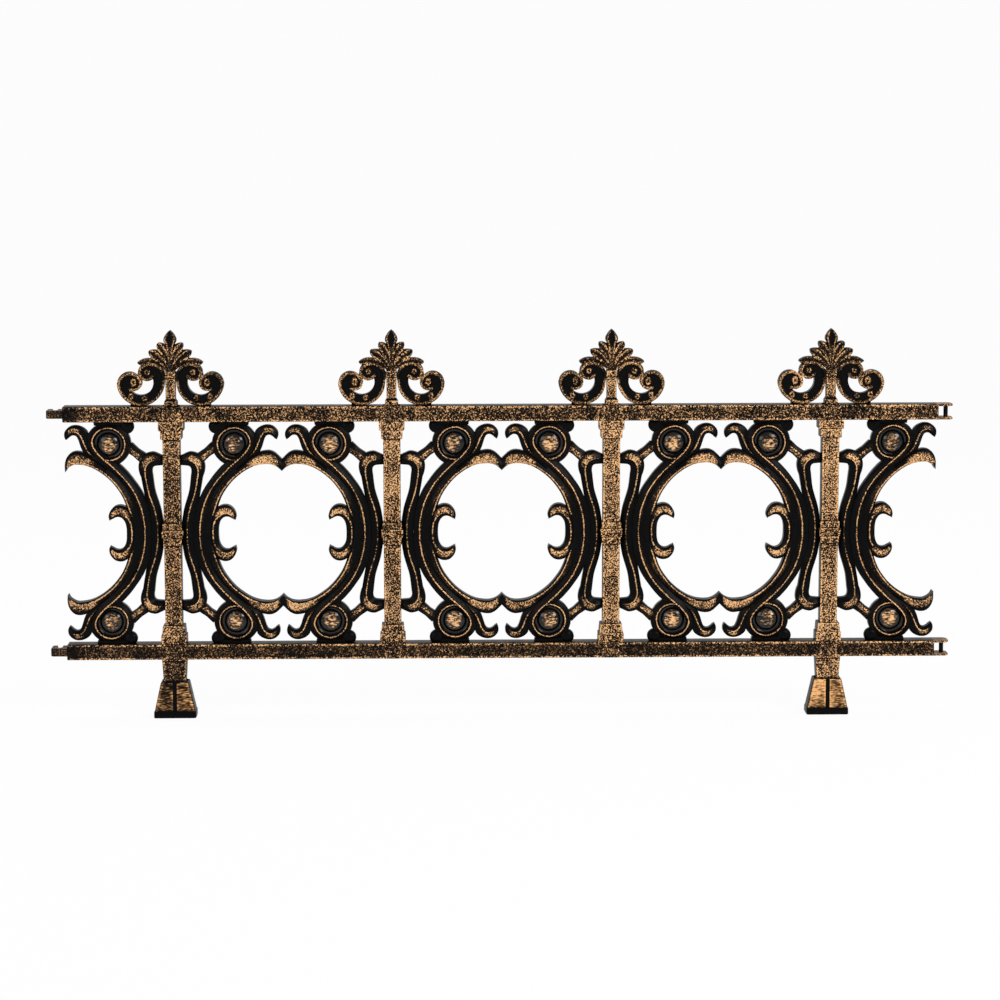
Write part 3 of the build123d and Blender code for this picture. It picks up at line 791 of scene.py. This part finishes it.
def post_shape():
    """A square post with a stepped capital, waist and base, about its own middle."""
    def step(low, high, extra, taper=0.0):
        """A step from low to high that stands out by extra, and by taper less at its foot."""
        wide = POST_HALF_WIDTH + extra
        far = min(POST_HALF_DEPTH + extra, DEPTH_LIMIT)
        # The low bronze at the foot and at the top of each step is painted shade in the creases between the
        # steps
        return [
            (low, wide - 0.5 - taper, far - 0.4, 0.1), (low + 0.5, wide - taper, far, 0.95),
            (low + 1.5, wide - taper, far, 0.9), (high - 1.3, wide, far, 0.95), (high - 0.6, wide, far, 2.4),
            (high - 0.1, wide - 0.25, far - 0.2, 0.8), (high, wide - 0.6, far - 0.5, 0.1),
        ]

    def shaft(low, high):
        """A straight length, with painted shade at its ends, where it meets the steps."""
        middle = [(low + (high - low) * share, 1.0) for share in np.linspace(0.05, 0.95, 9)]
        rows = [(low, 0.25), (low + 1.2, 0.9), *middle, (high - 1.6, 0.95), (high, 0.12)]
        return [(height, POST_HALF_WIDTH, POST_HALF_DEPTH, factor) for height, factor in rows]

    levels = step(-98.7, -90.3, 3.7, taper=-0.1) + step(-90.3, -82.1, 2.2, taper=-0.5)
    levels += shaft(-82.1, -10.7)
    levels += step(-10.7, -4.7, 0.8) + step(-4.7, 2.9, 2.4, taper=0.7) + step(2.9, 8.7, 1.1)
    levels += shaft(8.7, 83.1)
    levels += step(83.1, 90.7, 1.8) + step(90.7, 98.7, 3.6)
    shape = Shape()
    stack(shape, levels, corner=0.7, faces_bronze=0.37, sides_bronze=0.05, edge_bronze=0.78)
    return shape


post = post_shape()
# Each post's bronze is scaled by its factor: painted light falling from the right
for number, (x, bronze_gain) in enumerate(zip(POST_PLACES, POST_LIGHT_FACTORS), start=1):
    post.bronze_scaled(bronze_gain).piece(f"square_post_{number}", (x, 0, MID_Z), [speckled], [f"post_{number}"],
                           "speckled_plastic")


# Rails and hinge pins
MARK = 16.5  # from a post's middle to the dark marks beside it on the rails
PIN_RADIUS = 1.95
PIN_HALF_HEIGHT = 5.0
PIN_REACH = 7.6  # from the rail's end to the pin's middle


def rail_shape(bronze_gain):
    """A box-shaped rail with its hooked tongue and its two ears, about its own middle.

    coat is how bright the bronze is on its faces.
    """
    shape = Shape()
    half_length = RAIL_LENGTH / 2
    half_height = RAIL_HEIGHT / 2
    places = set(np.linspace(-half_length, half_length, 97).tolist())
    beside = np.array([side * (MARK + step) for side in (-1, 1) for step in (-3, -1.5, 0, 1.5, 3)])
    for x in POST_PLACES:
        places.update((x - PANEL_X + beside).tolist())
    levels = []
    for x in sorted(places):
        near = min(abs(abs(x + PANEL_X - p) - MARK) for p in POST_PLACES)
        share = np.clip((x + half_length - 9.0) / 7.0, 0.4, 1.0) * (0.7 if near < 1.6 else 1.0)
        levels.append((x, half_height, RAIL_DEPTH / 2, share))
    first, last = levels[0], levels[-1]
    levels = [
        (first[0], first[1] - 0.5, first[2] - 0.5, 0.5), (first[0] + 0.5, *first[1:]), *levels[1:-1],
        (last[0] - 0.5, *last[1:]), (last[0], last[1] - 0.5, last[2] - 0.5, 0.5),
    ]
    stack(shape, levels, corner=0.8, faces_bronze=bronze_gain, sides_bronze=0.08, edge_bronze=bronze_gain + 0.3, axis="x")
    # Faint squares where the posts were moulded through
    square = [(-half_height, 7.5, 8.9, 0.9), (-6.4, 7.5, 9.22, 1.0), (6.4, 7.5, 9.22, 1.0),
              (half_height, 7.5, 8.9, 0.8)]
    for x in POST_PLACES:
        stack(shape, square, corner=0.5, faces_bronze=0.22, edge_bronze=0.36, sides_bronze=0.2,
              detail=lambda loops, glow, x=x: (loops + (x - PANEL_X, 0, 0), glow))
    # Tongue with its hooked notch on the left
    left = -half_length
    tongue = np.concatenate([
        [(left + 1, 8.5), (left + 1, -8.5)], arc((left - 11.4, -5.5), 3.0, 270, 180, 0.8),
        arc((left - 11.9, 6.0), 2.5, 180, 90, 0.8), [(left - 9.8, 8.5)],
        arc((left - 7.6, 0), 2.2, 180, 360, 0.5), [(left - 5.4, 8.5)],
    ])
    plate(shape, tongue, -3.5, 3.5, bevel=0.5, bronze=0.16, plane="plan")
    # Two ears on the right
    right = half_length
    ear = np.concatenate([
        [(right - 1, 8.5), (right - 1, -8.5)], arc((right + 8.2, -3.5), 5.0, 270, 360, 0.8),
        arc((right + 8.2, 3.5), 5.0, 0, 90, 0.8),
    ])
    for low, high in ((-half_height, -5.0), (5.0, half_height)):
        plate(shape, ear, low, high, bevel=0.35, bronze=0.3, plane="plan")
    return shape


pin = Shape()
pin_turn = np.linspace(0, 2 * pi, 33)[:-1]
pin_outline = np.stack([PIN_RADIUS * np.cos(pin_turn), PIN_RADIUS * np.sin(pin_turn)], 1)
plate(pin, pin_outline, -PIN_HALF_HEIGHT, PIN_HALF_HEIGHT, bevel=0.3, bronze=0.06, plane="plan")
for level, z, bronze_gain in (("bottom", LOW_RAIL_Z, 0.15), ("top", HIGH_RAIL_Z, 0.22)):
    middle_z = z + RAIL_HEIGHT / 2
    rail_shape(bronze_gain).piece(f"box_rail_{level}", (PANEL_X, 0, middle_z), [speckled], [f"{level}_rail"],
                           "speckled_plastic")
    pin.piece(f"hinge_pin_{level}", (PANEL_X + RAIL_LENGTH / 2 + PIN_REACH, 0, middle_z), [speckled],
              [f"{level}_hinge_pin"], "black_plastic")


# Legs and feet: z from the ground
leg = Shape()
# The leg's bronze is low at its bottom, where it goes into the foot: painted shadow at the stub's base
stack(leg, [(32.0, 9.8, 7.6, 0.1), (33.0, 9.85, 7.65, 0.3), (34.2, 9.9, 7.7, 0.9), (40, 10.2, 7.9, 1),
            (46, 10.5, 8.05, 1), (49.8, 10.75, 8.15, 1), (50.4, 10.8, 8.2, 0.1), (51.2, 10.85, 8.2, 0.1),
            (51.5, 10.9, 8.2, 2.2), (52.1, 10.95, 8.2, 2.2), (52.5, 11.0, 8.2, 0.4)],
      corner=0.9, faces_bronze=0.3, sides_bronze=0.05, edge_bronze=0.7)


FOOT_LIP = 6.6
GROOVE_HALF_WIDTH = 1.75
GROOVE_LINE = 2.7


def foot_shape():
    """A flared foot with a lip, a sunk line down the middle of its faces and a rim round the leg."""
    levels = [(0.0, 18.2, 9.7, 0.02), (0.5, 18.7, 10.2, 0.03), (5.4, 18.6, 10.1, 0.05), (6.2, 18.2, 9.9, 0.1),
              (FOOT_LIP, 17.9, 9.85, 0.45)]
    # Above the lip the foot narrows evenly, and its bronze grows with the root of the share
    for share in np.linspace(0.06, 0.92, 10):
        narrower = 17.9 - 5.6 * share, 9.85 - 0.6 * share
        levels.append((FOOT_LIP + 25.4 * share, *narrower, 0.6 + 0.5 * sqrt(share)))
    levels += [(31.5, 12.3, 9.25, 1.5), (32.0, 11.9, 8.9, 0.6), (31.9, 11.0, 8.6, 0.1), (30.6, 10.7, 8.4, 0.0)]

    def groove(loops, glow):
        """Sinks the middle of each face, lights the lines beside it, and darkens one half."""
        x, z = loops[:, :, 0], loops[:, :, 2]
        on_face = np.abs(loops[:, :, 1]) > 8.3
        high = (z > FOOT_LIP - 0.1) & on_face
        sunk = high & (np.abs(x) < GROOVE_HALF_WIDTH)
        beside = high & (np.abs(x) > GROOVE_HALF_WIDTH + 0.05) & (np.abs(x) < GROOVE_LINE)
        dark_half = on_face & (x * np.sign(-loops[:, :, 1]) > 0)
        loops[:, :, 1] *= np.where(sunk, 0.9, 1.0)
        glow = np.where(sunk, 0.02, glow)
        glow = np.where(beside, np.minimum(glow * 1.35, 0.9), glow)
        return loops, glow * np.where(dark_half, 0.86, 1.0)

    shape = Shape()
    splits = (8.0, 3.3, 2.6, 1.9, 1.6, 1.2, -1.2, -1.6, -1.9, -2.6, -3.3, -8.0)
    stack(shape, levels, corner=1.6, faces_bronze=0.62, sides_bronze=0.08, splits=splits, detail=groove)
    return shape


foot = foot_shape()
# The right leg and foot get more bronze than the left: painted light falling from the right, and partly more
# bronze on the right foot itself
for side, x, bronze_gain in (("left", POST_PLACES[0], 0.66), ("right", POST_PLACES[-1], 1.15)):
    leg.bronze_scaled(bronze_gain).piece(f"stub_{side}", (x, 0, 0), [speckled], [f"leg_{side}"], "speckled_plastic")
    foot.bronze_scaled(bronze_gain).piece(f"flared_foot_{side}", (x, 0, 0), [brushed], [f"foot_{side}"], "brushed_plastic")


# Finials: x from the post's middle, z from the top rail
def circle_edge(points, centre, radius):
    """Distance from points to a circle, below zero inside."""
    return np.hypot(points[:, 0] - centre[0], points[:, 1] - centre[1]) - radius


VOLUTE_CENTRE = (26.0, 20.9)


def volute_edge(points):
    """Distance to the volute's border: round forms joined by the lesser distance, cut by the greater."""
    z = points[:, 1]
    foot = np.maximum(circle_edge(points, VOLUTE_CENTRE, 20.6), z - 20.9)
    body = np.minimum(foot, circle_edge(points, (16.6, 25.7), 12.0))
    outer = circle_edge(points, (36.3, 20.1), 9.9)
    hole = np.maximum(circle_edge(points, VOLUTE_CENTRE, 11.2), z - 24.0)
    body = np.maximum(np.minimum(body, outer), -hole)
    body = np.minimum(body, circle_edge(points, (20.2, 29.9), 7.8))
    body = np.minimum(body, circle_edge(points, (32.1, 20.5), 7.2))
    pad = np.maximum(np.abs(points[:, 0] - 28.5) - 6.5, np.abs(z - 1.5) - 1.5)
    return np.minimum(body, pad)


VOLUTE_RIM = curve([
    (35.2, 14.8), (31.2, 14.4), (27.0, 16.4), (26.0, 20.6), (27.6, 24.6), (31.4, 27.6), (36.4, 28.6),
    (41.6, 26.2), (44.9, 21.2), (44.9, 16.2), (42.2, 10.4), (37.4, 5.4), (31, 2.3), (24.4, 1.6),
    (17.4, 3.4), (11.6, 7.8), (7.6, 14.2), (5.9, 21.6), (6.4, 29.0), (9.6, 34.2), (14.6, 36.5),
    (20.2, 36.4), (25.0, 33.7), (26.8, 29.9), (25.6, 25.9), (22.4, 23.5), (18.4, 23.7), (15.2, 26.2),
], step=1.0)
# Middle, half width and half height of the curls' beads and of the two buds
VOLUTE_BEADS = ((32.0, 21.0, 2.8, 4.0), (20.0, 29.9, 2.7, 2.7), (34.4, 8.7, 2.6, 3.3), (22.6, 7.2, 2.5, 3.0))


def bead_share(points, bead):
    """0 in the middle of a bead and 1 on its border."""
    x, z, wide, high = bead
    return np.hypot((points[:, 0] - x) / wide, (points[:, 1] - z) / high)


def volute_depth(points):
    """A sunk ground, a flat-topped ridge along the rim line, and half balls for the beads."""
    far, _ = distance(points, VOLUTE_RIM)
    channel = 3.7 + 0.5 * np.clip((far - 3.0) / 4.5, 0, 1) ** 2
    depth = channel + 2.2 * bell(far / 1.45, 4)
    for bead in VOLUTE_BEADS:
        ball = np.sqrt(np.clip(1 - bead_share(points, bead) ** 2, 0, 1)) * 2.1
        depth = np.maximum(depth, 3.9 + ball)
    return np.minimum(depth, 6.0)


def volute_bronze(points):
    """Bells of bronze on the rim line and in a ring on each bead, darker beside the stem."""
    far, _ = distance(points, VOLUTE_RIM)
    glow = 0.48 * bell(far / 1.35, 6)
    for bead in VOLUTE_BEADS:
        ring = bell((bead_share(points, bead) - 0.62) / 0.3)
        glow = np.maximum(glow, 0.62 * ring)
    by_stem = bell((points[:, 0] - 6.5) / 3.0, 4) * bell((points[:, 1] - 27.0) / 5.0, 4)
    return glow * (1 - 0.85 * by_stem) + 0.02


volute = Shape()
relief(volute, volute_edge, (3.0, -1.0), (48.5, 39.0), volute_depth, volute_bronze)
left_volute = volute.mirrored(0)

FAN_OUTLINE = np.concatenate([
    curve([(3.6, 30.4), (6.6, 33.0), (11.0, 36.3), (16.6, 37.4), (20.6, 36.8), (23.0, 35.6)], step=0.8),
    curve([(23.2, 35.6), (26.4, 36.0), (28.6, 37.9), (25.4, 40.6), (21.0, 41.8), (16.4, 41.8)], step=0.8),
    curve([(16.4, 42.4), (18.2, 45.0), (18.6, 48.2), (14.8, 49.4), (10.6, 49.2)], step=0.8),
    curve([(10.6, 49.9), (11.5, 52.2), (11.0, 55.0), (7.2, 55.2), (4.0, 53.8)], step=0.8),
    curve([(3.8, 54.2), (5.3, 56.4), (5.5, 58.6), (3.8, 62.4), (1.3, 65.4), (0.0, 66.4)], step=0.8),
])
FAN_OUTLINE = np.concatenate([FAN_OUTLINE, FAN_OUTLINE[-2::-1] * (-1, 1)])
# Each petal's middle line, its half width at shares of that line, and how far it lies on top
PETALS = [
    (curve([(0, 32), (0, 45), (0, 66.4)]),
     ((0, 1.2), (0.45, 2.4), (0.62, 3.2), (0.76, 5.3), (0.9, 3.4), (1, 0.2)), 0.6),
    (curve([(0.6, 32), (3.4, 43.4), (11.0, 55.0)]),
     ((0, 1.2), (0.5, 2.6), (0.8, 3.6), (0.93, 2.6), (1, 0.3)), 0.3),
    (curve([(1.2, 31.5), (7.6, 40.2), (18.6, 48.2)]),
     ((0, 1.2), (0.5, 2.8), (0.8, 3.7), (0.93, 2.6), (1, 0.3)), 0.1),
    (curve([(1.8, 31), (9, 36.8), (18, 39.6), (28.6, 37.9)]),
     ((0, 1.0), (0.5, 2.6), (0.8, 3.0), (0.93, 2.2), (1, 0.3)), 0.0),
]


def fan_parts(points):
    """The highest petal over each point: its number, the share out from its middle, its height.

    A petal's height is its lift + 0.9 (1 - share out squared). The number is -1 beside the petals.
    """
    even_side = np.abs(points) * (1, 0) + points * (0, 1)
    best = np.full(len(points), -9.0)
    share_out = np.full(len(points), 2.0)
    number = np.full(len(points), -1)
    for k, (line, widths, lift) in enumerate(PETALS):
        far, share = distance(even_side, line)
        shares, sizes = zip(*widths)
        out = far / np.interp(share, shares, sizes)
        height = np.where(out < 1.0, lift + 0.9 * (1 - out**2), -5.0)
        higher = height > best
        best = np.where(higher, height, best)
        share_out = np.where(higher, out, share_out)
        number = np.where(higher & (height > -1), k, number)
    return number, share_out, best


def fan_edge(points):
    """Distance to the fan's outline, below zero inside."""
    far, _ = distance(points, FAN_OUTLINE, closed=True)
    return np.where(inside(points, FAN_OUTLINE), -far, far)


def fan_depth(points):
    """The petals' height, less a bell for the vein and the border, and with one for the rim."""
    number, out, height = fan_parts(points)
    on_petal = number >= 0
    vein = 0.5 * bell(out / 0.22) * on_petal
    rim = 0.5 * bell((out - 0.84) / 0.13) * on_petal
    far, _ = distance(points, FAN_OUTLINE, closed=True)
    return 4.3 + np.clip(height, -0.3, 1.6) * 0.75 - vein + rim - 0.9 * bell(far / 0.6)


def fan_bronze(points):
    """Bright rims on dark petals, the middle one's face black. The last value is for no petal."""
    number, out, _ = fan_parts(points)
    far, _ = distance(points, FAN_OUTLINE, closed=True)
    face = np.array([0.24, 0.2, 0.18, 0.2, 0.0])[number]
    face = np.where((number == 0) & (points[:, 1] > 52), 0.06, face)
    rim = np.array([0.6, 0.74, 0.74, 0.74, 0.0])[number] * bell((out - 0.76) / 0.13)
    vein = 0.16 * bell(out / 0.25)
    arm = 0.5 * bell((far - 0.4) / 0.7) * (number < 0) * (points[:, 1] < 38.5)
    border = 0.8 * bell(far / 0.45) * (number >= 0)
    return np.maximum(np.maximum(face - vein, rim), arm) * (1 - border) + 0.01


finial = Shape()
relief(finial, fan_edge, (-30, 29.5), (30, 68.5), fan_depth, fan_bronze)
# Height, half width and bronze factor of the square stem
STEM = (
    (0, 5.8, 0.1), (0.4, 5.8, 0.9), (3.6, 5.7, 0.95), (4.2, 5.5, 1.2), (4.5, 5.3, 0.1), (5.4, 4.7, 0.05),
    (6.0, 4.4, 0.1), (6.8, 4.3, 1.0), (16, 4.3, 1), (23.8, 4.4, 1.0), (24.6, 4.4, 0.1), (25.0, 4.8, 0.3),
    (25.5, 4.8, 1.9), (26.4, 4.8, 0.9), (29.2, 4.8, 0.9), (29.9, 4.8, 1.9), (30.5, 4.3, 0.2),
)
stack(finial, [(z, half, half, factor) for z, half, factor in STEM],
      corner=0.6, faces_bronze=0.32, sides_bronze=0.04, edge_bronze=0.62)
for number, x in enumerate(POST_PLACES, start=1):
    finial.piece(f"leaf_finial_{number}", (x, 0, FINIAL_Z), [speckled], [f"finial_{number}"],
                 "speckled_plastic")
    for side, shape in (("left", left_volute), ("right", volute)):
        shape.piece(f"curled_volute_{number}_{side}", (x, 0, FINIAL_Z), [scrollwork],
                    [f"volute_{number}_{side}"], "black_plastic")


# Studio: lengths in metres
def studio_material():
    """Pale floor and backdrop: they catch the shadow, and look white to the camera and in gloss."""
    finish = Finish("white_studio")
    diffuse = finish.node("ShaderNodeBsdfDiffuse", None, {"Color": (0.9, 0.9, 0.9, 1)})
    white = finish.node("ShaderNodeEmission", None, {"Strength": 1.0})
    rays = [f"Is {kind} Ray" for kind in ("Camera", "Glossy", "Transmission")]
    by_camera, by_gloss, by_glass = (finish.node("ShaderNodeLightPath", output=ray) for ray in rays)
    seen = by_camera.math("MAXIMUM", by_gloss).math("MAXIMUM", by_glass)
    blend = finish.node("ShaderNodeMixShader", None, {0: seen * 0.95, 1: diffuse, 2: white})
    finish.tree.links.new(blend.socket, finish.tree.nodes["Material Output"].inputs["Surface"])
    finish.tree.nodes.remove(finish.shader)
    return finish.material


FLOOR_REACH = 40.0
BEND_START = 2.5
BEND_RADIUS = 2.0
BACKDROP_HEIGHT = 30.0


def backdrop():
    """A sheet that lies on the floor and curves up behind: a profile pushed along x."""
    bend = np.radians(np.linspace(-90, 0, 16))[1:]
    curved = np.stack([BEND_START + BEND_RADIUS * np.cos(bend), BEND_RADIUS * (1 + np.sin(bend))], 1)
    profile = np.concatenate([
        [(-FLOOR_REACH, 0.0), (BEND_START, 0.0)], curved, [(BEND_START + BEND_RADIUS, BACKDROP_HEIGHT)],
    ])
    n = len(profile)
    points = np.concatenate([
        np.column_stack([np.full(n, x), profile]) for x in (-FLOOR_REACH, FLOOR_REACH)
    ])
    faces = [(i, i + n, i + n + 1, i + 1) for i in range(n - 1)]
    mesh = smooth_mesh("backdrop", points, faces)
    mesh.materials.append(studio_material())
    placed("backdrop", mesh)


backdrop()


def softbox(name, place, target, size, power):
    """A rectangular lamp that faces its target: turned by atan(x / -y), tipped by atan(reach / z)."""
    lamp = bpy.data.lights.new(name, "AREA")
    lamp.shape = "RECTANGLE"
    lamp.size, lamp.size_y = size
    lamp.energy = power
    obj = placed(name, lamp)
    x, y, z = np.array(place, float) - np.array(target, float)
    obj.rotation_euler = (atan2(sqrt(x**2 + y**2), z), 0, atan2(x, -y))
    obj.location = place


softbox("key_light", (1.7, -1.7, 1.6), (0.1, 0, 0.17), (1.0, 0.8), 34)
softbox("fill_light", (-1.9, -2.0, 1.3), (0, 0, 0.17), (1.4, 1.2), 18)
softbox("top_light", (0.0, 0.3, 2.2), (0, 0, 0.17), (1.8, 0.8), 14)

world = bpy.data.worlds.new("studio_air")
bpy.context.scene.world = world
world.use_nodes = True
air = world.node_tree.nodes["Background"].inputs
air["Color"].default_value = (1, 1, 1, 1)
air["Strength"].default_value = 0.45

# The camera's place, and its turns in radians, as solved from the photo's straight edges
CAMERA_PLACE = (-0.0598, -2.5884, 0.5502)
CAMERA_YAW = -0.02277
CAMERA_DOWN = 0.13726
CAMERA_ROLL = -0.001
camera_data = bpy.data.cameras.new("camera")
camera_data.lens = 106.7
camera_data.sensor_width = 36.0
camera_data.clip_end = 60.0
camera = placed("camera", camera_data)
camera.matrix_world = (
    Matrix.Translation(CAMERA_PLACE)
    @ Matrix.Rotation(CAMERA_YAW, 4, "Z")
    @ Matrix.Rotation(pi / 2 - CAMERA_DOWN, 4, "X")
    @ Matrix.Rotation(CAMERA_ROLL, 4, "Z")
)
bpy.context.scene.camera = camera
bpy.context.scene.view_settings.view_transform = "Standard"
